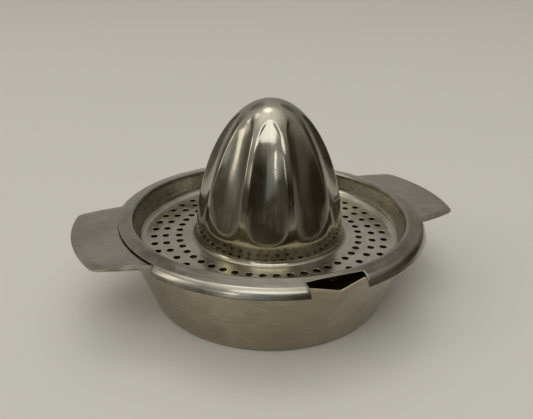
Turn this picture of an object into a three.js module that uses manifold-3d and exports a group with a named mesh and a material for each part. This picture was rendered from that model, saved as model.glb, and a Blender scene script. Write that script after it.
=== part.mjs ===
import * as THREE from 'three';
import { ConvexGeometry } from 'three/addons/geometries/ConvexGeometry.js';
import { mergeGeometries, mergeVertices } from 'three/addons/utils/BufferGeometryUtils.js';
import Module from 'manifold-3d';

// Hand citrus juicer of pressed stainless sheet, in two separate pieces.
// The juice bowl has two tab handles and a pour beak. The strainer, a perforated dish with a
// fluted reamer, rests on the bowl's rim and lifts straight off.
// Millimetres, +Z up, origin at the centre of the bowl's underside, handles along X, beak towards -Y.

const wasm = await Module();
wasm.setup();

const degree = Math.PI / 180;
const fullTurn = 360;
const frontAngle = -90;

// Sheet and fit
const sheet = 0.7;
const seatGap = 0.3;
const cutOverrun = 5;
const faceChords = 3;
const liningChords = 2;

// Juice bowl
const baseRadius = 55;
const baseCornerRadius = 2.2;
const rimRadius = 69.6;
const rimHeight = 38.2;
const bowlSegments = 72;

// Pour beak pressed into the bowl wall
const beakReach = 2.9;
const beakHalfAngle = 10;
const beakDepth = 19;
const beakDip = 2;

// Tab handles, drawn out of the rim
const tabReach = 89.6;
const tabEndRadius = 74;
const tabRootHalfWidth = 32.3;
const tabTaperAngle = 11;
const tabRiseAngle = 1.3;
const tabRootFillet = 3;
const tabCornerRadius = 5.5;
const tabBorderWidth = 3.3;
const tabBorderDrop = 0.6;
const tabBorderSteps = 3;
const tabEndSteps = 10;
const tabCornerSteps = 5;
const tabFilletSteps = 3;
const handleAngles = [0, 180];

// Strainer lip and skirt, which key it to the bowl
const lipWidth = 7.7;
const lipSlopeAngle = 13;
const crestBend = 1.5;
const shoulderBend = 2.6;
const skirtDrop = 3.4;
const skirtFlare = 1.6;
const skirtClearance = 0.6;
const handleCutClearance = 0.9;
const beakCutHalfWidth = 12;
const beakCutSetback = 3.5;
const cutSegments = 12;

// Strainer dish
const dishFloorDepth = 12;
const dishWallDraft = 2.2;
const dishCornerBend = 4;
const footBend = 2.4;

// Reamer
const reamerRadius = 34.5;
const reamerHeight = 63.9;
const reamerBulge = 1.84;
const fluteCount = 10;
const fluteAngle = 30.65;
const fluteToolRadius = 13.8;
const ribWidth = 2.6;
const fluteFoot = 9;
const fluteFootRamp = 34;
const fluteFootEase = 1.5;
const fluteFootRound = 7;
const fluteFootSquareness = 3;
const fluteTopSetback = 4.3;
const fluteTopRamp = 4;
const fluteTopRound = 6;

// Share of a quarter turn at which each ring of the reamer lies, from foot to tip
const outerRingShares = [0.1, 0.14, 0.18, 0.23, 0.3, 0.4, 0.5, 0.6, 0.68, 0.73, 0.78, 0.88];
const innerRingShares = [0.1, 0.14, 0.18, 0.23, 0.3, 0.5, 0.68, 0.78];
// Columns across one flute, from the rib before it, as shares of half a flute's width
const fluteColumnShares = [-1, -0.68, -0.34, 0, 0.34, 0.68, 1];
const columnsPerFlute = fluteColumnShares.length + 1;

// Drain holes: three rings, each placed at a share of the way over the dish's flat floor
const holeDiameter = 3.1;
const holeSides = 8;
const holeRings = [
  { floorShare: 0.29, count: 46, angle: 2.2 },
  { floorShare: 0.6, count: 40, angle: 4.3 },
  { floorShare: 0.865, count: 44, angle: 2.9 },
];

const steelFinish = { color: 0xb7b1a4, metalness: 1, roughness: 0.28 };

// Radii of the strainer, from the fit of its skirt round the rim
const shoulderRadius = rimRadius + skirtClearance + sheet;
const skirtRadius = shoulderRadius + skirtFlare;
const crestRadius = shoulderRadius - lipWidth;
const dishCornerRadius = crestRadius - dishWallDraft;

// Levels of the strainer, from the rest of its lip on the rim
const lipTopAtRim = rimHeight + seatGap + sheet / Math.cos(lipSlopeAngle * degree);
const lipTopAt = (radius) => lipTopAtRim + (rimRadius - radius) * Math.tan(lipSlopeAngle * degree);
const crestTop = lipTopAt(crestRadius);
const dishFloor = crestTop - dishFloorDepth;
const fluteTop = dishFloor + reamerHeight - fluteTopSetback;

// Turns a closed mesh into a solid, dropping the flat triangles that a turned pole leaves.
function solid(geometry) {
  const bare = geometry.clone();
  bare.deleteAttribute('normal');
  bare.deleteAttribute('uv');
  const merged = mergeVertices(bare);
  const corners = merged.index.array;
  const kept = [];
  for (let i = 0; i < corners.length; i += 3) {
    const [a, b, c] = corners.slice(i, i + 3);
    if (a !== b && b !== c && c !== a) kept.push(a, b, c);
  }
  const mesh = new wasm.Mesh({
    numProp: 3,
    vertProperties: new Float32Array(merged.attributes.position.array),
    triVerts: new Uint32Array(kept),
  });
  return new wasm.Manifold(mesh);
}

function toGeometry(body) {
  const mesh = body.getMesh();
  const geometry = new THREE.BufferGeometry();
  geometry.setAttribute('position', new THREE.BufferAttribute(new Float32Array(mesh.vertProperties), 3));
  geometry.setIndex(new THREE.BufferAttribute(new Uint32Array(mesh.triVerts), 1));
  geometry.computeVertexNormals();
  return geometry;
}

// Turns an outline of radius and height about Z. The first column lies at startAngle.
function turned(outline, segments, startAngle) {
  const lathe = new THREE.LatheGeometry(outline, segments, (startAngle - frontAngle) * degree);
  return lathe.rotateX(Math.PI / 2);
}

// Moves each vertex of a turned sheet by a rule of its polar place.
function pressed(geometry, rule) {
  const position = geometry.attributes.position;
  for (let i = 0; i < position.count; i++) {
    const x = position.getX(i);
    const y = position.getY(i);
    const place = { radius: Math.hypot(x, y), angle: Math.atan2(y, x) / degree, height: position.getZ(i) };
    const moved = { ...place, ...rule(place) };
    const angle = moved.angle * degree;
    position.setXYZ(i, moved.radius * Math.cos(angle), moved.radius * Math.sin(angle), moved.height);
  }
  return geometry;
}

// Rounds the inner corners { r, z, bend } of a path with arcs of a few chords.
function roundedPath(corners, chords) {
  const path = [];
  corners.forEach((corner, i) => {
    const here = new THREE.Vector2(corner.r, corner.z);
    if (!corner.bend) {
      path.push(here);
      return;
    }
    const toBefore = new THREE.Vector2(corners[i - 1].r, corners[i - 1].z).sub(here).normalize();
    const toAfter = new THREE.Vector2(corners[i + 1].r, corners[i + 1].z).sub(here).normalize();
    const half = Math.acos(toBefore.dot(toAfter)) / 2;
    const middle = toBefore.clone().add(toAfter).normalize();
    const centre = here.clone().addScaledVector(middle, corner.bend / Math.sin(half));
    const start = here.clone().addScaledVector(toBefore, corner.bend / Math.tan(half)).sub(centre);
    const end = here.clone().addScaledVector(toAfter, corner.bend / Math.tan(half)).sub(centre);
    const sweep = Math.atan2(start.cross(end), start.dot(end));
    for (let step = 0; step <= chords; step++) {
      const spoke = start.clone().rotateAround(new THREE.Vector2(), (sweep * step) / chords);
      path.push(centre.clone().add(spoke));
    }
  });
  return path;
}

// The same path one sheet below or inside: each side shifts square to itself by the distance.
function shiftedCorners(corners, distance) {
  const sides = corners.slice(1).map((to, i) => {
    const from = corners[i];
    const along = new THREE.Vector2(to.r - from.r, to.z - from.z).normalize();
    const across = new THREE.Vector2(along.y, -along.x).multiplyScalar(distance);
    return { start: new THREE.Vector2(from.r, from.z).add(across), along, across };
  });
  return corners.map((corner, i) => {
    const before = sides[i - 1];
    const after = sides[i];
    if (!before || !after) {
      const side = before ?? after;
      return { r: corner.r + side.across.x, z: corner.z + side.across.y };
    }
    const turn = before.along.cross(after.along);
    const reach = after.start.clone().sub(before.start).cross(after.along) / turn;
    const place = before.start.clone().addScaledVector(before.along, reach);
    return { r: place.x, z: place.y, bend: corner.bend + Math.sign(turn) * distance };
  });
}

// Juice bowl

const wallLean = Math.atan2(rimRadius - baseRadius, rimHeight);
const wallRadiusAt = (height) => baseRadius + height * Math.tan(wallLean);

// The bowl's outside, or what lies inside its wall, as a turned solid with the given top.
function bowlBody(inset, top, chords) {
  const corners = [
    { r: 0, z: inset },
    { r: wallRadiusAt(inset) - inset / Math.cos(wallLean), z: inset, bend: baseCornerRadius - inset },
    { r: wallRadiusAt(top) - inset / Math.cos(wallLean), z: top },
  ];
  const outline = [...roundedPath(corners, chords), new THREE.Vector2(0, top)];
  return solid(turned(outline, bowlSegments, frontAngle));
}

// The beak: two flat facets that meet in a crease and run out into the bowl's wall. Its lining is
// the same form moved back until the facets lie one sheet apart, and open at the top.
function beakBody(isLining) {
  const footHeight = rimHeight - beakDepth;
  const foot = new THREE.Vector3(0, -wallRadiusAt(footHeight), footHeight);
  const tip = new THREE.Vector3(0, -rimRadius - beakReach, rimHeight);
  const endX = rimRadius * Math.sin(beakHalfAngle * degree);
  const endY = -rimRadius * Math.cos(beakHalfAngle * degree);
  const ends = [new THREE.Vector3(endX, endY, rimHeight), new THREE.Vector3(-endX, endY, rimHeight)];
  const upperCorners = [tip, ...ends, new THREE.Vector3(0, 0, rimHeight)];
  const corners = [foot, ...upperCorners];
  if (isLining) {
    const facet = new THREE.Plane().setFromCoplanarPoints(tip, foot, ends[0]);
    const shift = new THREE.Vector3(0, sheet / Math.abs(facet.normal.y), 0);
    corners.forEach((corner) => corner.add(shift));
    corners.push(...upperCorners.map((corner) => corner.clone().setZ(rimHeight + cutOverrun)));
  }
  return solid(new ConvexGeometry(corners));
}

// What the rim's edge loses over the beak: a wide V, deepest at the crease.
function beakDipCutter() {
  const halfWidth = rimRadius * Math.sin(beakHalfAngle * degree);
  const profile = new THREE.Shape();
  profile.moveTo(0, -beakDip);
  profile.lineTo(halfWidth, 0);
  profile.lineTo(halfWidth, cutOverrun);
  profile.lineTo(-halfWidth, cutOverrun);
  profile.lineTo(-halfWidth, 0);
  const depth = rimRadius + beakReach + cutOverrun;
  const cutter = new THREE.ExtrudeGeometry(profile, { depth, bevelEnabled: false });
  return solid(cutter.rotateX(Math.PI / 2).translate(0, 0, rimHeight));
}

// Where a ray from inside a circle meets it.
function meetCircle(start, direction, centre, radius) {
  const offset = start.clone().sub(centre);
  const along = offset.dot(direction);
  const reach = Math.sqrt(along ** 2 - offset.lengthSq() + radius ** 2) - along;
  return start.clone().addScaledVector(direction, reach);
}

function arcPoints(centre, radius, from, to, steps) {
  const points = [];
  for (let step = 0; step <= steps; step++) {
    const angle = from + ((to - from) * step) / steps;
    points.push(new THREE.Vector2(Math.cos(angle), Math.sin(angle)).multiplyScalar(radius).add(centre));
  }
  return points;
}

// Plan of a tab along +X: a fillet out of the rim, a tapering side, a round corner and a bowed end.
function tabShape() {
  const taper = tabTaperAngle * degree;
  const side = new THREE.Vector2(Math.cos(taper), -Math.sin(taper));
  const outward = new THREE.Vector2(Math.sin(taper), Math.cos(taper));
  const root = new THREE.Vector2(Math.sqrt(rimRadius ** 2 - tabRootHalfWidth ** 2), tabRootHalfWidth);
  const bowlAxis = new THREE.Vector2();
  const endCentre = new THREE.Vector2(tabReach - tabEndRadius, 0);
  const filletStart = root.clone().addScaledVector(outward, tabRootFillet);
  const fillet = meetCircle(filletStart, side, bowlAxis, rimRadius + tabRootFillet);
  const cornerStart = root.clone().addScaledVector(outward, -tabCornerRadius);
  const corner = meetCircle(cornerStart, side, endCentre, tabEndRadius - tabCornerRadius);
  const endAngle = corner.clone().sub(endCentre).angle();
  const inner = fillet.clone().setLength(rimRadius - tabBorderWidth - cutOverrun);
  const upperSide = [
    inner,
    ...arcPoints(fillet, tabRootFillet, fillet.angle() + Math.PI, 1.5 * Math.PI - taper, tabFilletSteps),
    ...arcPoints(corner, tabCornerRadius, Math.PI / 2 - taper, endAngle, tabCornerSteps),
  ];
  const end = arcPoints(endCentre, tabEndRadius, endAngle, -endAngle, tabEndSteps).slice(1, -1);
  const lowerSide = upperSide.map((point) => new THREE.Vector2(point.x, -point.y)).reverse();
  return new THREE.Shape([...upperSide, ...end, ...lowerSide]);
}

// A slab with the tab's outline, inset if asked, its upper edge rounded down over the border.
function tabSlab(inset) {
  const depth = tabBorderDrop + sheet;
  const slab = new THREE.ExtrudeGeometry(tabShape(), {
    depth,
    bevelEnabled: true,
    bevelThickness: tabBorderDrop,
    bevelSize: tabBorderWidth,
    bevelOffset: -tabBorderWidth - inset,
    bevelSegments: tabBorderSteps,
  });
  return solid(slab.translate(0, 0, rimHeight - depth - tabBorderDrop - inset));
}

// One tab: a thin cap with turned-down edges, tilted up from the rim.
function tabHandle(angle) {
  const edgeLevel = rimHeight - tabBorderDrop - sheet;
  const below = new THREE.BoxGeometry(2 * tabReach, 2 * tabReach, 2 * rimHeight);
  below.translate(tabReach, 0, edgeLevel - rimHeight);
  const cap = tabSlab(0).subtract(tabSlab(sheet)).subtract(solid(below));
  const tilted = cap.translate([-rimRadius, 0, -rimHeight]).rotate([0, -tabRiseAngle, 0]);
  return tilted.translate([rimRadius, 0, rimHeight]).rotate([0, 0, angle]);
}

function juiceBowl() {
  let bowl = bowlBody(0, rimHeight, faceChords).add(beakBody(false));
  handleAngles.forEach((angle) => {
    bowl = bowl.add(tabHandle(angle));
  });
  const lining = bowlBody(sheet, rimHeight + cutOverrun, liningChords).add(beakBody(true));
  return bowl.subtract(lining).subtract(beakDipCutter());
}

// Strainer

// A ring on the reamer, or on its lining one sheet inside. The outside's radius falls as a cosine
// while its height follows the bulge.
function reamerRing(share, skin) {
  const at = (place) => {
    const angle = (place * Math.PI) / 2;
    const rise = Math.sin(angle) ** (2 / reamerBulge);
    return new THREE.Vector2(reamerRadius * Math.cos(angle), dishFloor + reamerHeight * rise);
  };
  const stepShare = 0.001;
  const along = at(share + stepShare).sub(at(share - stepShare)).normalize();
  return at(share).add(new THREE.Vector2(-along.y, along.x).multiplyScalar(skin));
}

function reamerRadiusAt(height) {
  const rise = THREE.MathUtils.clamp((height - dishFloor) / reamerHeight, 0, 1);
  return reamerRadius * Math.sqrt(1 - rise ** reamerBulge);
}

function dishCorners() {
  const neck = reamerRing(outerRingShares[0], 0);
  const shoulderHeight = lipTopAt(shoulderRadius);
  return [
    { r: neck.x, z: neck.y },
    { r: reamerRadius, z: dishFloor, bend: footBend },
    { r: dishCornerRadius, z: dishFloor, bend: dishCornerBend },
    { r: crestRadius, z: crestTop, bend: crestBend },
    { r: shoulderRadius, z: shoulderHeight, bend: shoulderBend },
    { r: skirtRadius, z: shoulderHeight - skirtDrop },
  ];
}

// The sheet's face, or its lining, from the reamer's tip down to the skirt's edge.
function strainerSide(isLining) {
  const skin = isLining ? sheet : 0;
  const shares = isLining ? innerRingShares : outerRingShares;
  const corners = isLining ? shiftedCorners(dishCorners(), sheet) : dishCorners();
  return [
    new THREE.Vector2(0, dishFloor + reamerHeight - skin),
    ...shares.slice(1).reverse().map((share) => reamerRing(share, skin)),
    ...roundedPath(corners, isLining ? liningChords : faceChords),
  ];
}

// Share of a flute's depth this far above its foot: it leaves the foot at a crease and levels out.
function fluteFootShare(distance) {
  const share = THREE.MathUtils.clamp(distance / fluteFootRamp, 0, 1);
  return 1 - (1 - share) ** fluteFootEase;
}

// Share of a flute's depth this far below its top, smooth at both ends.
function fluteTopShare(distance) {
  const share = THREE.MathUtils.clamp(distance / fluteTopRamp, 0, 1);
  return share * share * (3 - 2 * share);
}

// How far a round tool, lying along the reamer's side, stands off its axis when it leaves the ribs.
function fluteToolCentre(height) {
  const radius = reamerRadiusAt(height);
  const halfWidth = radius * Math.sin(Math.PI / fluteCount) - ribWidth / 2;
  return Math.sqrt(radius ** 2 - halfWidth ** 2) + Math.sqrt(fluteToolRadius ** 2 - halfWidth ** 2);
}

// Half of the angle that a flute takes on the ring of this radius. The tool is one skin larger inside.
function fluteHalfAngle(radius, height, skin) {
  const centre = fluteToolCentre(height);
  const cosine = (centre ** 2 + radius ** 2 - (fluteToolRadius + skin) ** 2) / (2 * centre * radius);
  return Math.acos(THREE.MathUtils.clamp(cosine, -1, 1));
}

// Depth of a flute, a share of its half angle away from its middle. Both ends are round and run out.
function fluteDepth(radius, height, share, skin) {
  const across = Math.abs(share);
  const centre = fluteToolCentre(height);
  const angle = share * fluteHalfAngle(radius, height, skin);
  const reach = Math.sqrt((fluteToolRadius + skin) ** 2 - (centre * Math.sin(angle)) ** 2);
  const depth = radius - centre * Math.cos(angle) + reach;
  const footRise = fluteFootRound * (1 - (1 - across ** fluteFootSquareness) ** (1 / fluteFootSquareness));
  const topFall = fluteTopRound * (1 - Math.sqrt(1 - across ** 2));
  const aboveFoot = height - dishFloor - fluteFoot - footRise;
  const belowTop = fluteTop - topFall - height;
  return depth * fluteFootShare(aboveFoot) * fluteTopShare(belowTop);
}

// Slides the reamer's columns to the flutes' edges and presses the flutes in.
function fluteRule(skin) {
  const pitch = fullTurn / fluteCount;
  const neck = reamerRing(outerRingShares[0], 0);
  return ({ radius, angle, height }) => {
    if (radius > neck.x || height < neck.y - sheet || height > fluteTop) return {};
    const column = Math.round((angle - fluteAngle) / (pitch / columnsPerFlute));
    const flute = Math.round(column / columnsPerFlute);
    const place = column - flute * columnsPerFlute + columnsPerFlute / 2;
    if (place === 0 || place === columnsPerFlute) return {};
    const share = fluteColumnShares[place - 1];
    const offset = (share * fluteHalfAngle(radius, height, skin)) / degree;
    return {
      angle: fluteAngle + flute * pitch + offset,
      radius: radius - fluteDepth(radius, height, share, skin),
    };
  };
}

// Everything below the sheet's face, or below its lining.
function strainerBody(isLining) {
  const side = strainerSide(isLining);
  const edge = side[side.length - 1];
  const underRadius = isLining ? edge.x : (crestRadius + skirtRadius) / 2;
  const bottom = dishFloor - (isLining ? 2 : 1) * cutOverrun;
  const closing = [[underRadius, edge.y], [underRadius, bottom], [0, bottom]];
  const outline = [...side, ...closing.map(([r, z]) => new THREE.Vector2(r, z))].reverse();
  const firstRib = fluteAngle + fullTurn / fluteCount / 2;
  const body = turned(outline, fluteCount * columnsPerFlute, firstRib);
  return solid(pressed(body, fluteRule(isLining ? sheet : 0)));
}

// Cuts through the lip and skirt over the whole of a plan shape.
function skirtCutter(shape) {
  const depth = 2 * (cutOverrun + skirtDrop);
  const cutter = new THREE.ExtrudeGeometry(shape, { depth, bevelEnabled: false, curveSegments: cutSegments });
  return solid(cutter.translate(0, 0, crestTop - depth / 2));
}

// Cut over a handle: all that stands out past the rim, as wide as the handle's root.
function handleCutter(handleAngle) {
  const halfAngle = Math.asin((tabRootHalfWidth + handleCutClearance) / rimRadius);
  const from = handleAngle * degree - halfAngle;
  const to = handleAngle * degree + halfAngle;
  const shape = new THREE.Shape();
  shape.absarc(0, 0, (skirtRadius + cutOverrun) / Math.cos(halfAngle), from, to, false);
  shape.absarc(0, 0, rimRadius, to, from, true);
  return skirtCutter(shape);
}

// Cut over the beak: square, and straight across a little inside the rim.
function beakCutter() {
  const near = beakCutSetback - rimRadius;
  const far = -skirtRadius - cutOverrun;
  const plan = new THREE.Shape();
  plan.moveTo(-beakCutHalfWidth, far);
  plan.lineTo(beakCutHalfWidth, far);
  plan.lineTo(beakCutHalfWidth, near);
  plan.lineTo(-beakCutHalfWidth, near);
  return skirtCutter(plan);
}

function drainHoles() {
  const floorStart = reamerRadius + footBend;
  const floorWidth = dishCornerRadius - dishCornerBend - floorStart;
  const cutters = [];
  holeRings.forEach(({ floorShare, count, angle }) => {
    const radius = floorStart + floorShare * floorWidth;
    for (let hole = 0; hole < count; hole++) {
      const turn = (angle + (fullTurn * hole) / count) * degree;
      const depth = sheet + 2 * cutOverrun;
      const cutter = new THREE.CylinderGeometry(holeDiameter / 2, holeDiameter / 2, depth, holeSides);
      cutter.rotateX(Math.PI / 2).rotateZ(turn);
      cutters.push(cutter.translate(radius * Math.cos(turn), radius * Math.sin(turn), dishFloor - sheet / 2));
    }
  });
  return solid(mergeGeometries(cutters));
}

function strainer() {
  let body = strainerBody(false).subtract(strainerBody(true)).subtract(drainHoles());
  handleAngles.forEach((angle) => {
    body = body.subtract(handleCutter(angle));
  });
  return body.subtract(beakCutter());
}

function piece(name, body) {
  const mesh = new THREE.Mesh(toGeometry(body), new THREE.MeshStandardMaterial(steelFinish));
  mesh.name = name;
  return mesh;
}

const juicer = new THREE.Group();
juicer.add(piece('juice_bowl', juiceBowl()));
juicer.add(piece('strainer', strainer()));

export default juicer;
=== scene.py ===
"""Hand citrus juicer of pressed stainless sheet: two smooth sheets with rounded edges, in worn steel."""
import math

import bmesh
import bpy
import numpy as np
from mathutils import Matrix, Vector
from mathutils.geometry import delaunay_2d_cdt


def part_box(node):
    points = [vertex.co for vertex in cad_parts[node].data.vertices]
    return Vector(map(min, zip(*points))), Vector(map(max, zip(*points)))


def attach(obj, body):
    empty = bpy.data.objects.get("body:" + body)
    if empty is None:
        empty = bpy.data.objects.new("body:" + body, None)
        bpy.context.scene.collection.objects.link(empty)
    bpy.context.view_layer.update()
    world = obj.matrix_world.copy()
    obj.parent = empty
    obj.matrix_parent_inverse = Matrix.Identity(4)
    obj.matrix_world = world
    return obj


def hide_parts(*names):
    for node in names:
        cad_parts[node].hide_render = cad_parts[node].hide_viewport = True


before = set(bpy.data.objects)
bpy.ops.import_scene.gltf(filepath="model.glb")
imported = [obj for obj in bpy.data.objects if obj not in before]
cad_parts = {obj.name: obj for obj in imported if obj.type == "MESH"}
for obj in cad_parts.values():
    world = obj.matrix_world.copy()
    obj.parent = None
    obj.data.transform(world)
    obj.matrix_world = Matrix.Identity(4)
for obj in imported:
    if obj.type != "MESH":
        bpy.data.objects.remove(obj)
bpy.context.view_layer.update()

# Lengths are in metres and angles in radians, unless a comment or a unit says otherwise.
mm = 0.001
degree = math.pi / 180
full_turn = 2 * math.pi
front = -math.pi / 2
handle_angles = (0, math.pi)

# The frame gives the outer sizes of both pieces, and both are of the same sheet.
bowl_low, bowl_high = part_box("juice_bowl")
strainer_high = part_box("strainer")[1]
sheet = 0.7 * mm

# Juice bowl
rim_radius = bowl_high.y
rim_height = 38.2 * mm
base_radius = 55 * mm
base_corner_radius = 2.2 * mm
beak_radius = -bowl_low.y
beak_half_angle = 10 * degree
beak_depth = 19 * mm
beak_dip = 2 * mm
beak_crease_radius = 0.5 * mm

# Tab handles
tab_end_radius = 74 * mm
tab_root_half_width = 32.3 * mm
tab_taper = 11 * degree
tab_rise = 1.3 * degree
tab_root_fillet = 3 * mm
tab_corner_radius = 5.5 * mm
tab_border_width = 3.3 * mm
tab_border_drop = 0.55 * mm
tab_crease_radius = 0.5 * mm
tab_bend_radius = 1 * mm
# Reach of a tab's underside. The border leans, so its upper edge reaches a little further out.
tab_reach = bowl_high.x - sheet * tab_border_drop / tab_border_width

# Strainer lip and skirt
skirt_radius = strainer_high.y
skirt_flare = 1.6 * mm
skirt_drop = 3.4 * mm
seat_gap = 0.3 * mm
lip_width = 7.7 * mm
lip_slope = 13 * degree
crest_bend = 1.5 * mm
shoulder_bend = 4 * mm
handle_cut_clearance = 0.9 * mm
beak_cut_half_width = 12 * mm
beak_cut_setback = 3.5 * mm

# Strainer dish
dish_floor_depth = 12 * mm
dish_wall_draft = 2.2 * mm
dish_corner_bend = 4 * mm
foot_bend = 2.4 * mm
hole_radius = 1.57 * mm
hole_margin = 0.4 * mm
# Rings of drain holes: share of the floor's width, number of holes, and first hole's angle in degrees
hole_rings = ((0.29, 46, 2.2), (0.6, 40, 4.3), (0.865, 44, 2.9))

# Reamer. A bulge of 2 makes its outline an ellipse, and less makes it narrower towards the tip.
reamer_radius = 34.5 * mm
reamer_bulge = 1.84
flute_count = 10
flute_angle = 30.65 * degree
flute_tool_radius = 13.8 * mm
rib_width = 2.6 * mm
rib_round = 0.35 * mm
flute_foot = 9 * mm
flute_foot_ramp = 34 * mm
flute_foot_ease = 1.5
flute_foot_round = 7 * mm
flute_foot_squareness = 3
flute_top_setback = 4.3 * mm
flute_top_ramp = 4 * mm
flute_top_round = 6 * mm

# Radii, levels and angles that follow
shoulder_radius = skirt_radius - skirt_flare
crest_radius = shoulder_radius - lip_width
dish_corner_radius = crest_radius - dish_wall_draft
floor_inner_radius = reamer_radius + foot_bend
floor_outer_radius = dish_corner_radius - dish_corner_bend
lip_top_at_rim = rim_height + seat_gap + sheet / math.cos(lip_slope)
crest_top = lip_top_at_rim + (rim_radius - crest_radius) * math.tan(lip_slope)
dish_floor = crest_top - dish_floor_depth
reamer_height = strainer_high.z - dish_floor
flute_top = dish_floor + reamer_height - flute_top_setback
wall_slope = (rim_radius - base_radius) / rim_height
tab_blend_width = 2 * tab_bend_radius
beak_blend_angle = 2 * beak_half_angle
handle_cut_half_angle = math.asin((tab_root_half_width + handle_cut_clearance) / rim_radius)
beak_cut_reach = rim_radius - beak_cut_setback
beak_cut_half_angle = math.atan(beak_cut_half_width / beak_cut_reach)
beak_cut_corner = math.hypot(beak_cut_half_width, beak_cut_reach)
beak_cut_blend_angle = 3 * beak_cut_half_angle

# Fineness of the meshes
columns = 480
column_angles = flute_angle + np.arange(columns) * full_turn / columns
bend_steps = 6
lip_steps = 6
skirt_steps = 4
base_ring_count = 6
wall_steps = 24
tab_steps = 44
outline_steps = 40
hole_sides = 24
merge_distance = 0.002 * mm
fill_accuracy = merge_distance / 10
angle_tolerance = 0.0001 * degree

# Rings of the reamer, as shares of the quarter turn that its outline makes from foot to tip
tip_shares = (0.975, 0.95)
upper_share = 0.92
neck_share = 0.085
reamer_steps = 96
reamer_shares = np.concatenate([tip_shares, np.linspace(upper_share, neck_share, reamer_steps)])

# Cut edges of the sheet
edge_round = 0.12 * mm
edge_steps = 2
edge_angle = 40 * degree

# Places of the finishes in each piece's list of materials
finish_reamer, finish_dish, finish_lip = 0, 1, 2
finish_wall, finish_tab = 0, 1


# Shape helpers


def ramp(distance, length):
    """Rises from 0 to 1 over the length, level at both ends."""
    share = np.clip(distance / length, 0, 1)
    return share * share * (3 - 2 * share)


def run_out(distance, length, ease):
    """Rises from 0 to 1 over the length, from a crease to a level end."""
    return 1 - (1 - np.clip(distance / length, 0, 1)) ** ease


def soft_max(value, width):
    """The larger of value and zero, rounded over about width."""
    return (value + np.sqrt(value * value + width * width)) / 2


def wrapped(angle):
    """The angle brought between minus and plus half a turn."""
    return (angle + math.pi) % full_turn - math.pi


def with_columns_at(angles, wanted):
    """The same angles, with the nearest one moved to each wanted angle."""
    moved = angles.copy()
    for angle in wanted:
        gap = wrapped(angles - angle)
        nearest = np.argmin(np.abs(gap))
        moved[nearest] -= gap[nearest]
    return moved


def on_circle(radius, angle):
    """Points (x, y) at these radii and angles."""
    return np.stack([radius * np.cos(angle), radius * np.sin(angle)], -1)


def rounded_path(corners, steps):
    """Points (r, z) on straight runs between corners (r, z, bend), where a bend is an arc's radius."""
    path = []
    for i, (r, z, bend) in enumerate(corners):
        here = Vector((r, z))
        if not bend:
            path.append(here)
            continue
        to_before = (Vector(corners[i - 1][:2]) - here).normalized()
        to_after = (Vector(corners[i + 1][:2]) - here).normalized()
        half = to_before.angle(to_after) / 2
        centre = here + (to_before + to_after).normalized() * (bend / math.sin(half))
        start = here + to_before * (bend / math.tan(half)) - centre
        sweep = start.angle_signed(here + to_after * (bend / math.tan(half)) - centre)
        for step in range(steps + 1):
            path.append(centre + Matrix.Rotation(-sweep * step / steps, 2) @ start)
    return path


def divided(start, end, parts):
    """Points from start towards end, both left out."""
    return [start.lerp(end, i / parts) for i in range(1, parts)]


def meet_circle(start, heading, centre, radius):
    """Where a ray from inside a circle meets it."""
    offset = start - centre
    along = offset.dot(heading)
    return start + heading * (math.sqrt(along**2 - offset.length_squared + radius**2) - along)


def arc_points(centre, radius, start, end, steps):
    """Points on an arc, both ends included."""
    angles = np.linspace(start, end, steps + 1)
    return [centre + Vector((radius * math.cos(a), radius * math.sin(a))) for a in angles]


def polar(vector):
    """The angle of a plan vector."""
    return math.atan2(vector.y, vector.x)


def distance_to_path(points, path):
    """Least distance from each point to a path of straight runs."""
    starts, ends = path[:-1], path[1:]
    along = ends - starts
    offset = points[:, None] - starts[None]
    share = np.clip((offset * along).sum(-1) / (along * along).sum(-1), 0, 1)
    return np.sqrt(((offset - share[..., None] * along) ** 2).sum(-1).min(-1))


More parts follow.
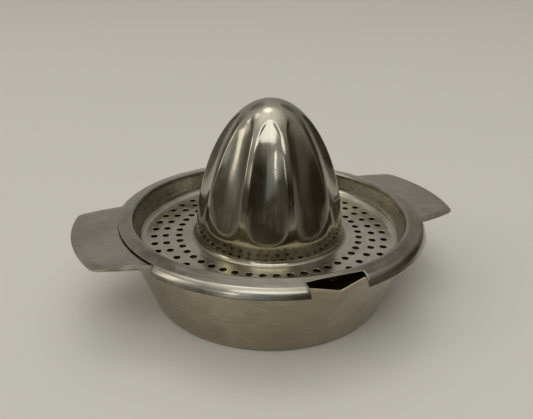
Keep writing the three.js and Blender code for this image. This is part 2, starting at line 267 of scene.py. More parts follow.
class Sheet:
    """A sheet's face, put together from rings of vertices and faces between them."""

    def __init__(self):
        self.places = []
        self.faces = []
        self.finishes = []

    def ring(self, radius, height, angle, centre=(0, 0)):
        """Adds one vertex for each angle round the centre and returns their numbers."""
        first = len(self.places)
        flat = on_circle(np.broadcast_to(radius, angle.shape), angle) + centre
        levels = np.broadcast_to(height, angle.shape)
        self.places += [(x, y, z) for (x, y), z in zip(flat.tolist(), levels.tolist())]
        return list(range(first, first + len(angle)))

    def pole(self, height):
        """Adds one vertex on the axis and returns its number."""
        self.places.append((0, 0, height))
        return len(self.places) - 1

    def add(self, face, finish):
        """Adds one face, given by the numbers of its vertices."""
        self.faces.append(face)
        self.finishes.append(finish)

    def cap(self, pole, ring, finish):
        """Faces from a pole to a closed ring."""
        for i, here in enumerate(ring):
            self.add((pole, here, ring[(i + 1) % len(ring)]), finish)

    def band(self, inner, outer, finish, kept=None):
        """Faces between two closed rings. kept says which columns get one."""
        for i, here in enumerate(inner):
            if kept is not None and not kept[i]:
                continue
            after = (i + 1) % len(inner)
            self.add((here, outer[i], outer[after], inner[after]), finish)

    def bands(self, rings, finish, kept=None):
        """Faces between each ring and the next."""
        for inner, outer in zip(rings, rings[1:]):
            self.band(inner, outer, finish, kept)

    def fill(self, loops, is_open, finish):
        """Flat triangles between closed loops, except where is_open finds their middle in an opening."""
        numbers = [number for loop in loops for number in loop]
        points = [Vector(self.places[number][:2]) for number in numbers]
        edges = []
        first = 0
        for loop in loops:
            edges += [(first + i, first + (i + 1) % len(loop)) for i in range(len(loop))]
            first += len(loop)
        places, _, triangles, sources, *_ = delaunay_2d_cdt(points, edges, [], 0, fill_accuracy)
        keys = [numbers[source[0]] if source else None for source in sources]
        for triangle in triangles:
            middle = sum((places[i] for i in triangle), Vector((0, 0))) / len(triangle)
            corners = tuple(keys[i] for i in triangle)
            if None not in corners and not is_open(middle):
                self.add(corners, finish)

    def to_object(self, name, materials):
        """Makes an object of the face, still without thickness."""
        mesh = bpy.data.meshes.new(name)
        mesh.from_pydata(self.places, [], self.faces)
        mesh.polygons.foreach_set("material_index", self.finishes)
        for material in materials:
            mesh.materials.append(material)
        made = bpy.data.objects.new(name, mesh)
        bpy.context.scene.collection.objects.link(made)
        return made


def clean(mesh, flip):
    """Merges vertices that coincide, drops those without a face, and turns the faces over where asked."""
    body = bmesh.new()
    body.from_mesh(mesh)
    bmesh.ops.remove_doubles(body, verts=body.verts, dist=merge_distance)
    bmesh.ops.dissolve_degenerate(body, edges=body.edges, dist=merge_distance)
    loose = [v for v in body.verts if not v.link_faces]
    bmesh.ops.delete(body, geom=loose, context="VERTS")
    if flip:
        bmesh.ops.reverse_faces(body, faces=body.faces)
    body.to_mesh(mesh)
    body.free()


def thicken(piece, flip):
    """Gives a face the sheet's thickness behind it, rounds the cut edges, and keeps the plain mesh."""
    mesh = piece.data
    clean(mesh, flip)
    solidify = piece.modifiers.new("sheet", "SOLIDIFY")
    solidify.thickness = sheet
    solidify.offset = -1
    solidify.use_even_offset = True
    bevel = piece.modifiers.new("edges", "BEVEL")
    bevel.width = edge_round
    bevel.segments = edge_steps
    bevel.limit_method = "ANGLE"
    bevel.angle_limit = edge_angle
    bevel.use_clamp_overlap = False
    graph = bpy.context.evaluated_depsgraph_get()
    made = bpy.data.meshes.new_from_object(piece.evaluated_get(graph))
    piece.modifiers.clear()
    piece.data = made
    made.name = piece.name
    made.shade_smooth()
    made.set_sharp_from_angle(angle=edge_angle)
    bpy.data.meshes.remove(mesh)
    return piece


# Strainer


def reamer_point(share):
    """Radius and height on the reamer's outline, with no flute."""
    angle = share * math.pi / 2
    rise = reamer_height * math.sin(angle) ** (2 / reamer_bulge)
    return reamer_radius * math.cos(angle), dish_floor + rise


def flute_depth(radius, height, angle):
    """How deep a flute is at a point of the reamer, with the angle from the flute's middle."""
    half_width = radius * math.sin(math.pi / flute_count) - rib_width / 2
    if half_width <= 0:
        return np.zeros_like(angle)
    tool = flute_tool_radius
    centre = math.sqrt(radius**2 - half_width**2) + math.sqrt(tool**2 - half_width**2)
    half_angle = math.acos((centre**2 + radius**2 - tool**2) / (2 * centre * radius))
    across = np.minimum(np.abs(angle / half_angle), 1)
    reach = np.sqrt(np.maximum(tool**2 - (centre * np.sin(angle)) ** 2, 0))
    depth = radius - centre * np.cos(angle) + reach
    foot_arch = (1 - across**flute_foot_squareness) ** (1 / flute_foot_squareness)
    foot_rise = flute_foot_round * (1 - foot_arch)
    top_fall = flute_top_round * (1 - np.sqrt(1 - across**2))
    above_foot = height - dish_floor - flute_foot - foot_rise
    below_top = flute_top - top_fall - height
    foot_share = run_out(above_foot, flute_foot_ramp, flute_foot_ease)
    return soft_max(depth, rib_round) * foot_share * ramp(below_top, flute_top_ramp)


def reamer_rings(face):
    """Rings of the reamer from near its tip down to its neck."""
    pitch = full_turn / flute_count
    from_middle = (column_angles - flute_angle + pitch / 2) % pitch - pitch / 2
    rings = []
    for share in reamer_shares:
        radius, height = reamer_point(share)
        fluted = radius - flute_depth(radius, height, from_middle)
        rings.append(face.ring(fluted, height, column_angles))
    return rings


def add_reamer(face):
    """The reamer and the foot that bends out to the floor. Returns the foot's last ring."""
    rings = reamer_rings(face)
    face.cap(face.pole(dish_floor + reamer_height), rings[0], finish_reamer)
    neck_radius, neck_height = reamer_point(neck_share)
    foot = rounded_path(
        [
            (neck_radius, neck_height, 0),
            (reamer_radius, dish_floor, foot_bend),
            (crest_radius, dish_floor, 0),
        ],
        bend_steps,
    )[1:-1]
    rings += [face.ring(r, z, column_angles) for r, z in foot]
    face.bands(rings, finish_reamer)
    return rings[-1]


def dish_holes():
    """Centres of the drain holes on the floor."""
    floor_width = floor_outer_radius - floor_inner_radius
    centres = []
    for floor_share, count, start in hole_rings:
        radius = floor_inner_radius + floor_share * floor_width
        turns = start * degree + np.arange(count) * full_turn / count
        centres += on_circle(np.full(count, radius), turns).tolist()
    return centres


def add_floor(face, inner, outer):
    """The flat floor between two rings, with a narrow margin round each drain hole."""
    circle = np.arange(hole_sides) * full_turn / hole_sides
    centres = np.array(dish_holes())
    loops = [inner, outer]
    for centre in centres:
        margin = face.ring(hole_radius + hole_margin, dish_floor, circle, centre)
        edge = face.ring(hole_radius, dish_floor, circle, centre)
        face.band(edge, margin, finish_dish)
        loops.append(margin)
    margin_reach = (hole_radius + hole_margin) * math.cos(math.pi / hole_sides)
    inner_radius = math.hypot(*face.places[inner[0]][:2])

    def is_open(middle):
        to_holes = np.hypot(*(centres - np.array(middle)).T)
        return to_holes.min() < margin_reach or middle.length < inner_radius

    face.fill(loops, is_open, finish_dish)


def lip_top(radius):
    """Height of the lip's straight part at a radius."""
    return lip_top_at_rim + (rim_radius - radius) * math.tan(lip_slope)


def side_path():
    """The section outside the floor: the dish's corner, the crest, the shoulder and the skirt's edge."""
    shoulder_height = lip_top(shoulder_radius)
    side = rounded_path(
        [
            (reamer_radius, dish_floor, 0),
            (dish_corner_radius, dish_floor, dish_corner_bend),
            (crest_radius, crest_top, crest_bend),
            (shoulder_radius, shoulder_height, shoulder_bend),
            (skirt_radius, shoulder_height - skirt_drop, 0),
        ],
        bend_steps,
    )[1:]
    count = bend_steps + 1
    return side[:count], side[count : 2 * count], side[2 * count : -1], side[-1]


def add_dish(face, foot, angles, corner, crest):
    """The floor, the wall and the crest. Returns the crest's last ring."""
    wall = divided(corner[-1], crest[0], lip_steps)
    rings = [face.ring(r, z, angles) for r, z in [*corner, *wall, *crest]]
    add_floor(face, foot, rings[0])
    crest_start = len(corner) + len(wall)
    face.bands(rings[:crest_start], finish_dish)
    face.bands(rings[crest_start - 1 :], finish_lip)
    return rings[-1]


def lip_columns():
    """Angles of the dish's and the lip's columns, with one on each side of each cut."""
    sides = [angle + side * handle_cut_half_angle for angle in handle_angles for side in (-1, 1)]
    sides += [front - beak_cut_half_angle, front + beak_cut_half_angle]
    return with_columns_at(column_angles, sides)


def lip_run(crest, shoulder, edge):
    """Points from the crest to the skirt's edge, and the rows where the cuts start at beak and handles."""
    beak_stop = Vector((beak_cut_corner, lip_top(beak_cut_corner)))
    handle_stop = Vector((rim_radius, lip_top(rim_radius)))
    run = [crest[-1], *divided(crest[-1], beak_stop, lip_steps), beak_stop]
    beak_row = len(run) - 1
    run += [*divided(beak_stop, handle_stop, lip_steps), handle_stop]
    handle_row = len(run) - 1
    run += [point for point in shoulder if point.x > handle_stop.x]
    run += [*divided(shoulder[-1], edge, skirt_steps), edge]
    return run, beak_row, handle_row


def beak_cut_angles(angles, radius):
    """The columns of a ring, drawn in at the front so that the cut's sides run straight out."""
    from_front = wrapped(angles - front)
    reach = max(radius / beak_cut_corner, 1)
    shift = math.asin(math.sin(beak_cut_half_angle) / reach) - beak_cut_half_angle
    share = np.interp(np.abs(from_front), [0, beak_cut_half_angle, beak_cut_blend_angle], [0, 1, 0])
    return angles + np.sign(from_front) * shift * share


def lip_rings(face, angles, run, beak_row):
    """Rings along the lip. Up to the beak's cut they are drawn in there, so that it starts on a chord."""
    from_front = wrapped(angles - front)
    in_beak = np.abs(from_front) < beak_cut_half_angle + angle_tolerance
    chord_radius = beak_cut_reach / np.cos(np.where(in_beak, from_front, 0))
    start = run[0].x
    rings = []
    for row, point in enumerate(run[1:], 1):
        radius = np.full(columns, point.x)
        height = np.full(columns, point.y)
        if row <= beak_row:
            share = (point.x - start) / (run[beak_row].x - start)
            drawn = start + share * (chord_radius - start)
            radius = np.where(in_beak, drawn, radius)
            height = np.where(in_beak, lip_top(drawn), height)
        rings.append(face.ring(radius, height, beak_cut_angles(angles, point.x)))
    return rings


def add_lip(face, crest_ring, angles, run, beak_row, handle_row):
    """The lip and the skirt, cut away over the beak and over both handles."""
    rings = [crest_ring, *lip_rings(face, angles, run, beak_row)]
    middles = angles + wrapped(np.roll(angles, -1) - angles) / 2
    over_beak = np.abs(wrapped(middles - front)) < beak_cut_half_angle
    from_handles = [np.abs(wrapped(middles - handle_angle)) for handle_angle in handle_angles]
    over_handle = np.min(from_handles, axis=0) < handle_cut_half_angle
    face.bands(rings[: beak_row + 1], finish_lip)
    face.bands(rings[beak_row : handle_row + 1], finish_lip, ~over_beak)
    face.bands(rings[handle_row:], finish_lip, ~over_beak & ~over_handle)


def build_strainer(materials):
    """One sheet from the reamer's tip to the skirt's edge, made from its upper face."""
    face = Sheet()
    angles = lip_columns()
    corner, crest, shoulder, edge = side_path()
    foot = add_reamer(face)
    crest_ring = add_dish(face, foot, angles, corner, crest)
    add_lip(face, crest_ring, angles, *lip_run(crest, shoulder, edge))
    return thicken(face.to_object("strainer_sheet", materials), False)


# Juice bowl


def tab_outline():
    """Half of a tab's plan outline along +X, from the middle of its end to where it leaves the rim."""
    heading = Vector((math.cos(tab_taper), -math.sin(tab_taper)))
    outward = Vector((math.sin(tab_taper), math.cos(tab_taper)))
    root = Vector((math.sqrt(rim_radius**2 - tab_root_half_width**2), tab_root_half_width))
    axis = Vector((0, 0))
    fillet = meet_circle(root + outward * tab_root_fillet, heading, axis, rim_radius + tab_root_fillet)
    end_centre = Vector((tab_reach - tab_end_radius, 0))
    side_start = root - outward * tab_corner_radius
    corner = meet_circle(side_start, heading, end_centre, tab_end_radius - tab_corner_radius)
    end_angle = polar(corner - end_centre)
    side_angle = math.pi / 2 - tab_taper
    fillet_start, fillet_end = side_angle + math.pi, polar(fillet) + math.pi
    return [
        *arc_points(end_centre, tab_end_radius, 0, end_angle, outline_steps),
        *arc_points(corner, tab_corner_radius, end_angle, side_angle, outline_steps)[1:],
        *arc_points(fillet, tab_root_fillet, fillet_start, fillet_end, outline_steps),
    ]


def beak_wall(radius, height, from_front):
    """Radius of the bowl's outside at this height, drawn out into two flat facets at the beak."""
    tip = Vector((0, beak_radius, rim_height - beak_dip))
    foot_height = rim_height - beak_depth
    foot = Vector((0, base_radius + foot_height * wall_slope, foot_height))
    end = Vector((
        rim_radius * math.sin(beak_half_angle),
        rim_radius * math.cos(beak_half_angle),
        rim_height,
    ))
    normal = (end - tip).cross(foot - tip).normalized()
    level = normal.dot(tip)
    near = np.abs(from_front) < beak_blend_angle
    turn = np.where(near, from_front, 0)
    across = np.sqrt(np.sin(turn) ** 2 + (beak_crease_radius / beak_radius) ** 2)
    facet = (level - normal.z * height) / (normal.x * across + normal.y * np.cos(turn))
    return np.where(near, radius + soft_max(facet - radius, beak_crease_radius / 2), radius)


def rim_level(from_front):
    """Height of the rim, which dips a little towards the beak's tip."""
    share = np.clip(1 - np.abs(np.tan(from_front)) / math.tan(beak_half_angle), 0, 1)
    return rim_height - beak_dip * np.where(np.abs(from_front) < beak_half_angle, share, 0)


class BowlPlan:
    """The bowl's columns: their angles, the tab's edge in plan, and where the wall ends in each."""

    def __init__(self):
        half = np.array(tab_outline())
        half_angles = np.arctan2(half[:, 1], half[:, 0])
        edges = [angle + side * half_angles[-1] for angle in handle_angles for side in (-1, 1)]
        edges += [front - beak_half_angle, front + beak_half_angle]
        self.angles = with_columns_at(front + np.arange(columns) * full_turn / columns, edges)
        self.from_front = wrapped(self.angles - front)
        self.outline = np.concatenate([half[::-1] * [1, -1], half[1:]])

        self.reach = np.full(columns, rim_radius)
        for tab_angle in handle_angles:
            turn = np.abs(wrapped(self.angles - tab_angle))
            on_tab = np.interp(turn, half_angles, np.hypot(half[:, 0], half[:, 1]))
            self.reach = np.where(turn < half_angles[-1], on_tab, self.reach)
        self.width = np.maximum(self.reach - rim_radius, 0)
        self.bend = np.minimum(tab_bend_radius, self.width / 2)
        drop = ramp(self.width, tab_blend_width) * sheet + self.bend
        self.top = rim_level(self.from_front) - drop
        self.top_radius = base_radius + self.top * wall_slope

    def tab_or(self, on_tab, elsewhere):
        """One value in the columns that reach out on a tab, and another in the rest."""
        return np.where(self.width > 0, on_tab, elsewhere)


def base_rings(face, plan):
    """The flat base and the bend round it. Returns the rings and the height that they end at."""
    corner = rounded_path(
        [(0, 0, 0), (base_radius, 0, base_corner_radius), (rim_radius, rim_height, 0)], bend_steps
    )[1:-1]
    radii = np.linspace(0, corner[0].x, base_ring_count + 2)[1:-1]
    rings = [face.ring(r, 0, plan.angles) for r in radii]
    face.cap(face.pole(0), rings[0], finish_wall)
    rings += [face.ring(r, z, plan.angles) for r, z in corner]
    return rings, corner[-1].y


def wall_rings(face, plan, start):
    """The wall, from the base's bend to the rim or to the bend into a tab."""
    rings = []
    for step in range(1, wall_steps + 1):
        height = start + (plan.top - start) * step / wall_steps
        radius = beak_wall(base_radius + height * wall_slope, height, plan.from_front)
        rings.append(face.ring(radius, height, plan.angles))
    return rings


def bend_rings(face, plan):
    """The bend from the wall into each tab. Elsewhere its rings stay on the rim and carry no faces."""
    rim = beak_wall(plan.top_radius, plan.top, plan.from_front)
    rings = []
    for step in range(1, bend_steps + 1):
        turn = math.pi / 2 * step / bend_steps
        radius = plan.tab_or(plan.top_radius + plan.bend * (1 - math.cos(turn)), rim)
        rings.append(face.ring(radius, plan.top + plan.bend * math.sin(turn), plan.angles))
    return rings


def tab_height(plan, radius, start):
    """Height of a tab's underside, which rises outwards and falls along its border."""
    from_tab = np.where(np.cos(plan.angles) > 0, wrapped(plan.angles), wrapped(plan.angles - math.pi))
    places = on_circle(radius, from_tab)
    past_border = tab_border_width - distance_to_path(places, plan.outline)
    fall = soft_max(past_border, tab_crease_radius) * tab_border_drop / tab_border_width
    rise = (places[:, 0] - rim_radius) * math.tan(tab_rise)
    return rim_height - sheet + (rise - fall) * np.clip((radius - start) / tab_blend_width, 0, 1)


def tab_rings(face, plan):
    """The tabs, from their bend to their edge. Elsewhere their rings stay on the rim too."""
    start = plan.top_radius + plan.bend
    length = np.maximum(plan.reach, start) - start
    rings = []
    for step in range(1, tab_steps + 1):
        radius = plan.tab_or(start + length * (step / tab_steps), start)
        height = plan.tab_or(tab_height(plan, radius, start), plan.top)
        rings.append(face.ring(radius, height, plan.angles))
    return rings


def build_bowl(materials):
    """One sheet with its tabs, made from its outer and lower face."""
    face = Sheet()
    plan = BowlPlan()
    wall, base_end = base_rings(face, plan)
    wall += wall_rings(face, plan, base_end)
    tabs = [*bend_rings(face, plan), *tab_rings(face, plan)]
    kept = (plan.width > 0) | (np.roll(plan.width, -1) > 0)
    face.bands(wall, finish_wall)
    face.band(wall[-1], tabs[0], finish_wall, kept)
    face.bands(tabs, finish_tab, kept)
    return thicken(face.to_object("bowl_sheet", materials), True)


# Steel

# Colours
clean_steel = (0.44, 0.415, 0.355, 1)
dull_steel = (0.345, 0.32, 0.255, 1)
tarnish = (0.20, 0.165, 0.12, 1)
hole_shadow = (0.02, 0.018, 0.015, 1)

# Fine lines and broader streaks along them
line_pitch = 0.4 * mm
line_length = 14 * mm
line_depth = 0.0012 * mm
streak_pitch = 1.6 * mm
streak_depth = 0.004 * mm
streak_detail = 3

# Clouds and smudges of wear, and how far noise is bent on them
cloud_size = 45 * mm
cloud_detail = 3
cloud_distortion = 0.4
cloud_share = 0.6
smudge_size = 12 * mm
smudge_detail = 4
smudge_distortion = 0.8

# Waves and shallower dents of the sheet
wave_size = 22 * mm
wave_detail = 1
dent_size = 7 * mm
dent_detail = 2
dent_share = 0.2

# Scratches
scratch_turns = (0.5, 1.7, 2.6)
scratch_length = 16 * mm
scratch_width = 0.5 * mm
scratch_detail = 1
scratch_threshold = 0.7
scratch_fade = 0.06

# Levels of noise between which each change happens, and the shades that lines have
wear_levels = (0.35, 0.65)
line_levels = (0.6, 1.4)
line_shades = (0.9, 1.08)
stain_levels = (0.3, 0.65)
rough_levels = (0.3, 0.7)

# What each kind of wear takes from or adds to the roughness
smudge_polish = 0.05
smudge_roughness = 0.07
streak_roughness = 0.03
scratch_roughness = 0.12
stain_roughness = 0.15

anisotropy = 0.35
corner_dirt_share = 0.08

# Numbers of a Mix node's colour sockets, whose names other sockets share
mix_first, mix_second, mix_result = 6, 7, 2


class Graph:
    """Short calls that add nodes to a material or a world."""

    def __init__(self, owner):
        owner.use_nodes = True
        self.nodes = owner.node_tree.nodes
        self.links = owner.node_tree.links

    def feed(self, socket, value):
        """Links another node's output to a socket, or sets the socket's own value."""
        if isinstance(value, bpy.types.NodeSocket):
            self.links.new(value, socket)
        else:
            socket.default_value = value

    def add(self, kind, values, **settings):
        """Adds a node. values go to its sockets, by name or number."""
        made = self.nodes.new("ShaderNode" + kind)
        for key, value in settings.items():
            setattr(made, key, value)
        for key, value in values.items():
            self.feed(made.inputs[key], value)
        return made

    def coordinates(self, kind):
        """The place of the point that is shaded."""
        return self.add("TexCoord", {}).outputs[kind]

    def math(self, operation, *values):
        return self.add("Math", dict(enumerate(values)), operation=operation).outputs[0]

    def combine(self, x, y, z):
        return self.add("CombineXYZ", {"X": x, "Y": y, "Z": z}).outputs[0]

    def split(self, place):
        """The X, Y and Z of a place."""
        return self.add("SeparateXYZ", {"Vector": place}).outputs

    def radius(self, place):
        """Distance of a place from the Z axis."""
        x, y, _ = self.split(place)
        flat = self.combine(x, y, 0)
        return self.add("VectorMath", {0: flat}, operation="LENGTH").outputs["Value"]

    def dot(self, place, towards):
        """How far a place lies along a direction."""
        return self.add("VectorMath", {0: place, 1: towards}, operation="DOT_PRODUCT").outputs["Value"]

    def times(self, first, second):
        """Two vectors or colours, multiplied part by part."""
        return self.add("VectorMath", {0: first, 1: second}, operation="MULTIPLY").outputs[0]

    def noise(self, place, scale=1, detail=2, distortion=0):
        """Smooth noise, mostly between 0.3 and 0.7."""
        values = {"Vector": place, "Scale": scale, "Detail": detail, "Distortion": distortion}
        return self.add("TexNoise", values).outputs["Fac"]

    def remap(self, value, low, high, to_low=0, to_high=1, curve="SMOOTHSTEP"):
        """Runs from to_low to to_high as the value goes from low to high, and stays level past them."""
        values = {"Value": value, "From Min": low, "From Max": high, "To Min": to_low, "To Max": to_high}
        return self.add("MapRange", values, interpolation_type=curve).outputs[0]

    def blend(self, share, first, second):
        """Colour between two others; a share of 0 gives the first."""
        made = self.add("Mix", {"Factor": share}, data_type="RGBA")
        self.feed(made.inputs[mix_first], first)
        self.feed(made.inputs[mix_second], second)
        return made.outputs[mix_result]

    def bump(self, height, depth, below=None):
        """A normal bent by a height map of this depth, over the normal below."""
        values = {"Height": height, "Distance": depth}
        if below is not None:
            values["Normal"] = below
        return self.add("Bump", values).outputs[0]


def line_places(graph, position, run, pitch):
    """Coordinates in which noise makes fine lines: round the axis, up the reamer, or out along a tab."""
    if run == "out":
        return graph.times(position, (1 / line_length, 1 / pitch, 1 / pitch))
    x, y, z = graph.split(position)
    radius = graph.radius(position)
    turn_x = graph.math("DIVIDE", x, radius)
    turn_y = graph.math("DIVIDE", y, radius)
    if run == "round":
        around = (rim_radius / line_length, rim_radius / line_length, 1 / pitch)
        return graph.times(graph.combine(turn_x, turn_y, graph.math("ADD", radius, z)), around)
    up = (reamer_radius / pitch, reamer_radius / pitch, 1 / line_length)
    return graph.times(graph.combine(turn_x, turn_y, z), up)


def scratches(graph, position):
    """Sparse thin scratches in three directions, 1 on a scratch."""
    found = 0
    for turn in scratch_turns:
        values = {"Vector": position, "Angle": turn}
        turned = graph.add("VectorRotate", values, rotation_type="Z_AXIS").outputs[0]
        place = graph.times(turned, (1 / scratch_length, 1 / scratch_width, 1 / scratch_length))
        level = graph.noise(place, detail=scratch_detail)
        line = graph.remap(level, scratch_threshold, scratch_threshold + scratch_fade)
        found = graph.math("MAXIMUM", found, line)
    return found


def hole_walls(graph, position):
    """1 inside the drain holes, between the floor's two faces, and 0 elsewhere."""
    height = graph.split(position)[2]
    radius = graph.radius(position)
    below = graph.math("LESS_THAN", height, dish_floor - edge_round / 2)
    above = graph.math("GREATER_THAN", height, dish_floor - sheet + edge_round)
    outside = graph.math("GREATER_THAN", radius, floor_inner_radius)
    inside = graph.math("LESS_THAN", radius, floor_outer_radius)
    between_faces = graph.math("MULTIPLY", below, above)
    on_floor = graph.math("MULTIPLY", outside, inside)
    return graph.math("MULTIPLY", between_faces, on_floor)


def no_dirt(graph, position):
    """No tarnish anywhere, for the finishes whose sheet is clean."""
    return 0


def corner_dirt(graph, position):
    """Tarnish in the dish's outer corner."""
    radius = graph.radius(position)
    return graph.remap(radius, floor_outer_radius, dish_corner_radius, 0, corner_dirt_share)


def worn_colour(graph, position, lines, streaks, smudges, tint):
    """Clean and dull steel in clouds and smudges, with darker and lighter lines, times the tint."""
    clouds = graph.noise(position, 1 / cloud_size, cloud_detail, cloud_distortion)
    cloud_part = graph.math("MULTIPLY", clouds, cloud_share)
    wear = graph.math("ADD", cloud_part, graph.math("MULTIPLY", smudges, 1 - cloud_share))
    colour = graph.blend(graph.remap(wear, *wear_levels), dull_steel, clean_steel)
    lined = graph.remap(graph.math("ADD", lines, streaks), *line_levels, *line_shades)
    shade = graph.combine(*(graph.math("MULTIPLY", lined, part) for part in tint))
    return graph.times(colour, shade)


def worn_roughness(graph, roughness, streaks, smudges, marks, stain):
    """Roughness that varies with smudges and streaks, and rises on scratches and stains."""
    smudged = graph.remap(smudges, *rough_levels, roughness - smudge_polish, roughness + smudge_roughness)
    streaked = graph.remap(streaks, *rough_levels, -streak_roughness, streak_roughness)
    rough = graph.math("ADD", smudged, streaked)
    rough = graph.math("ADD", rough, graph.math("MULTIPLY", marks, scratch_roughness))
    return graph.math("ADD", rough, graph.math("MULTIPLY", stain, stain_roughness))


def worn_bumps(graph, position, lines, streaks, marks, wave_depth, wear_share):
    """Waves and dents of the sheet, with streaks, lines and scratches on them."""
    waves = graph.bump(graph.noise(position, 1 / wave_size, wave_detail), wave_depth)
    dents = graph.bump(graph.noise(position, 1 / dent_size, dent_detail), wave_depth * dent_share, waves)
    streaked = graph.bump(streaks, streak_depth * wear_share, dents)
    return graph.bump(graph.math("SUBTRACT", lines, marks), line_depth, streaked)


def steel(name, run, roughness, wave_depth, wear_share, dirt, tint):
    """Worn stainless sheet. run is the way that its lines go.

    wear_share is how much scratches and streaks show, and dirt is a rule for where tarnish may be.
    """
    material = bpy.data.materials.new(name)
    graph = Graph(material)
    position = graph.coordinates("Object")
    lines = graph.noise(line_places(graph, position, run, line_pitch))
    streaks = graph.noise(line_places(graph, position, run, streak_pitch), detail=streak_detail)
    smudges = graph.noise(position, 1 / smudge_size, smudge_detail, smudge_distortion)
    marks = graph.math("MULTIPLY", scratches(graph, position), wear_share)
    stain = graph.math("MULTIPLY", dirt(graph, position), graph.remap(smudges, *stain_levels))

    colour = worn_colour(graph, position, lines, streaks, smudges, tint)
    colour = graph.blend(stain, colour, tarnish)
    colour = graph.blend(hole_walls(graph, position), colour, hole_shadow)
    rough = worn_roughness(graph, roughness, streaks, smudges, marks, stain)
    bumps = worn_bumps(graph, position, lines, streaks, marks, wave_depth, wear_share)

    shader = graph.nodes["Principled BSDF"].inputs
    graph.feed(shader["Base Color"], colour)
    graph.feed(shader["Roughness"], rough)
    graph.feed(shader["Normal"], bumps)
    shader["Metallic"].default_value = 1
    shader["Anisotropic"].default_value = anisotropy
    if run == "round":
        tangent = graph.add("Tangent", {}, direction_type="RADIAL", axis="Z")
        graph.feed(shader["Tangent"], tangent.outputs[0])
    return material


def reamer_steel():
    """Polished, with lines that run up the reamer."""
    return steel(
        "reamer_steel", run="up", roughness=0.12, wave_depth=0.02 * mm, wear_share=0.8,
        dirt=no_dirt, tint=(0.96, 0.96, 0.93),
    )


def dish_steel():
    """Painted lighter than the rest of the sheet, a painted light against the shade of the dish's walls,
    and smooth, with lines round the axis and a little tarnish in the corner.
    """
    return steel(
        "dish_steel", run="round", roughness=0.22, wave_depth=0.008 * mm, wear_share=0.3,
        # This tint is painted light: it makes the dish lighter than the reamer and the lip of the same
        # sheet.
        dirt=corner_dirt, tint=(1.34, 1.35, 1.33),
    )


def lip_steel():
    """Polished, with lines round the axis."""
    return steel(
        "lip_steel", run="round", roughness=0.19, wave_depth=0.012 * mm, wear_share=0.5,
        dirt=no_dirt, tint=(0.95, 0.95, 0.95),
    )


def wall_steel():
    """Wavy and a little yellow, with lines round the axis."""
    return steel(
        "wall_steel", run="round", roughness=0.22, wave_depth=0.09 * mm, wear_share=0.6,
        dirt=no_dirt, tint=(1.09, 1.01, 0.9),
    )


def tab_steel():
    """Duller, with lines that run out along the tab."""
    return steel(
        "tab_steel", run="out", roughness=0.26, wave_depth=0.012 * mm, wear_share=0.15,
        dirt=no_dirt, tint=(1, 1, 1),
    )


# Stage, light and camera

# The camera, recovered from the ellipses of the photograph
camera_azimuth = -21.92 * degree
camera_elevation = 23.649 * degree
camera_roll = 0.918 * degree
camera_distance = 280.7 * mm
camera_near = camera_distance / 100

# How far the camera looks past the origin, and its focal length for Blender's default sensor
aim_right = -0.756 * mm
aim_up = 36.37 * mm
lens = 37.81

# Floor, pale round the object and painted darker further out, a painted shade. The pale part grows wider
# by the spread for each unit of length away from the camera.
floor_half_size = 12
floor_pale_reach = 240 * mm
floor_shade_reach = 2 * floor_pale_reach
floor_spread = 0.6
floor_pale = (0.72, 0.70, 0.65, 1)
floor_shade = (0.27, 0.255, 0.23, 1)
floor_roughness = 0.9
floor_specular = 0.1

lamp_distance = 2.4

# Lamps: name, azimuth, elevation, width and height in degrees, radiance and colour
lamps = (
    ("front_top", 178, 54, 40, 24, 1.7, (0.94, 0.98, 1)),
    ("left_strip", -108, 28, 14, 30, 1.6, (1, 0.94, 0.82)),
    ("front_strip", -156, 25, 5, 14, 2.6, (1, 0.94, 0.82)),
    ("front_low", -160, 23, 42, 13, 0.36, (0.72, 0.88, 1)),
)

# Changes of the room's light: azimuth and elevation in degrees of a direction, the cosines of the angle
# to it at which the change starts and ends, and the light before and after
darker_right = (105, 0, -0.25, 0.75, 0.37, 0.14)
darker_low_behind = (180, -65, -0.08, 0.1, 1, 0.3)
lighter_overhead = (0, 90, 0.35, 1, 0, 0.3)

# Lighter and darker parts of the room: azimuth, elevation and radius in degrees, and share of light
room_patches = (
    (-90, 88, 32, 2.1),
    (-20, 73, 10, 2.2),
    (-68, 60, 8, 2.2),
    (-28, 43, 15, 0.42),
    (32, 41, 13, 0.45),
    (-64, 14, 30, 0.45),
    (70, 12, 30, 0.45),
    (-95, 38, 11, 2.2),
)

# A patch is even within this share of its radius, and fades out from there.
patch_middle_share = 1 / 3

# The room's dim light is warmer than its bright light.
dim_light = 0.05
bright_light = 0.35
dim_colour = (1, 0.85, 0.65, 1)
bright_colour = (1, 0.985, 0.93, 1)


def direction(azimuth, elevation):
    """Unit vector from degrees. Azimuth 0 points away from the camera and grows towards its right."""
    azimuth = azimuth * degree - camera_azimuth
    elevation = elevation * degree
    return Vector((
        math.sin(azimuth) * math.cos(elevation),
        math.cos(azimuth) * math.cos(elevation),
        math.sin(elevation),
    ))


def floor_cloth():
    """Cloth grey, pale round the object and behind it, with painted shade that darkens it to its sides and
    towards the camera.
    """
    material = bpy.data.materials.new("floor_cloth")
    graph = Graph(material)
    place = graph.coordinates("Object")
    away = graph.dot(place, direction(0, 0))
    right = graph.dot(place, direction(90, 0))
    spread = graph.math("MULTIPLY", graph.math("MAXIMUM", away, 0), floor_spread)
    beside = graph.math("SUBTRACT", graph.math("ABSOLUTE", right), spread)
    outside = graph.math("MAXIMUM", beside, graph.math("MULTIPLY", away, -1))
    # Painted shade: the cloth is painted darker away from the object.
    shade_share = graph.remap(outside, floor_pale_reach, floor_shade_reach)
    shader = graph.nodes["Principled BSDF"].inputs
    graph.feed(shader["Base Color"], graph.blend(shade_share, floor_pale, floor_shade))
    shader["Roughness"].default_value = floor_roughness
    shader["Specular IOR Level"].default_value = floor_specular
    return material


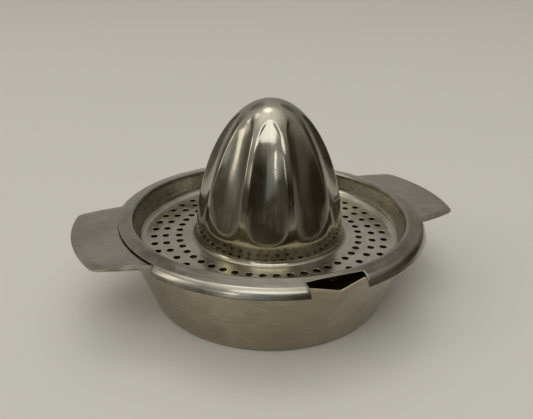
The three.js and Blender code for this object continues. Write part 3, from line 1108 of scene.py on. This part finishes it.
def build_floor():
    """A floor so wide that it is the backdrop in the camera's view as well."""
    half = floor_half_size
    corners = [(-half, -half, 0), (half, -half, 0), (half, half, 0), (-half, half, 0)]
    mesh = bpy.data.meshes.new("floor")
    mesh.from_pydata(corners, [], [(0, 1, 2, 3)])
    mesh.materials.append(floor_cloth())
    floor = bpy.data.objects.new("floor", mesh)
    bpy.context.scene.collection.objects.link(floor)


def soft_box(name, azimuth, elevation, width, height, radiance, colour):
    """A rectangular lamp, width by height degrees as seen from the object."""
    light = bpy.data.lights.new(name, "AREA")
    light.shape = "RECTANGLE"
    light.size = 2 * lamp_distance * math.tan(width * degree / 2)
    light.size_y = 2 * lamp_distance * math.tan(height * degree / 2)
    light.energy = radiance * math.pi * light.size * light.size_y
    light.color = colour
    lamp = bpy.data.objects.new(name, light)
    towards = direction(azimuth, elevation)
    lamp.location = towards * lamp_distance
    lamp.rotation_euler = towards.to_track_quat("Z", "Y").to_euler()
    bpy.context.scene.collection.objects.link(lamp)


def build_world():
    """A dim room: lighter overhead and to the left, darker to the right and low behind the camera."""
    world = bpy.data.worlds.new("studio")
    bpy.context.scene.world = world
    graph = Graph(world)
    place = graph.coordinates("Generated")

    def changing(azimuth, elevation, start, end, before, after):
        return graph.remap(graph.dot(place, direction(azimuth, elevation)), start, end, before, after)

    light = graph.math("MULTIPLY", changing(*darker_right), changing(*darker_low_behind))
    light = graph.math("ADD", light, changing(*lighter_overhead))
    for azimuth, elevation, radius, share in room_patches:
        edge = math.cos(radius * degree)
        middle = math.cos(radius * degree * patch_middle_share)
        light = graph.math("MULTIPLY", light, changing(azimuth, elevation, edge, middle, 1, share))
    brightness = graph.remap(light, dim_light, bright_light, curve="LINEAR")
    background = graph.nodes["Background"].inputs
    graph.feed(background["Strength"], light)
    graph.feed(background["Color"], graph.blend(brightness, dim_colour, bright_colour))


def build_light():
    """The lamps, and the room round them."""
    for lamp in lamps:
        soft_box(*lamp)
    build_world()


def build_camera():
    """The camera, which looks past the origin by the two aim values and is rolled a little."""
    right = Vector((math.cos(camera_azimuth), math.sin(camera_azimuth), 0))
    level_back = Vector((math.sin(camera_azimuth), -math.cos(camera_azimuth), 0))
    back = level_back * math.cos(camera_elevation) + Vector((0, 0, math.sin(camera_elevation)))
    up = back.cross(right)
    rolled_right = right * math.cos(camera_roll) + up * math.sin(camera_roll)
    rolled_up = up * math.cos(camera_roll) - right * math.sin(camera_roll)
    camera = bpy.data.objects.new("camera", bpy.data.cameras.new("camera"))
    camera.data.lens = lens
    camera.data.clip_start = camera_near
    place = rolled_right * aim_right + rolled_up * aim_up + back * camera_distance
    axes = Matrix((rolled_right, rolled_up, back)).transposed().to_4x4()
    camera.matrix_world = Matrix.Translation(place) @ axes
    bpy.context.scene.collection.objects.link(camera)
    bpy.context.scene.camera = camera


strainer = build_strainer([reamer_steel(), dish_steel(), lip_steel()])
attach(strainer, "strainer")
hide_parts("strainer")
bowl = build_bowl([wall_steel(), tab_steel()])
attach(bowl, "bowl")
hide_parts("juice_bowl")
build_floor()
build_light()
build_camera()
bpy.context.scene.view_settings.view_transform = "Standard"
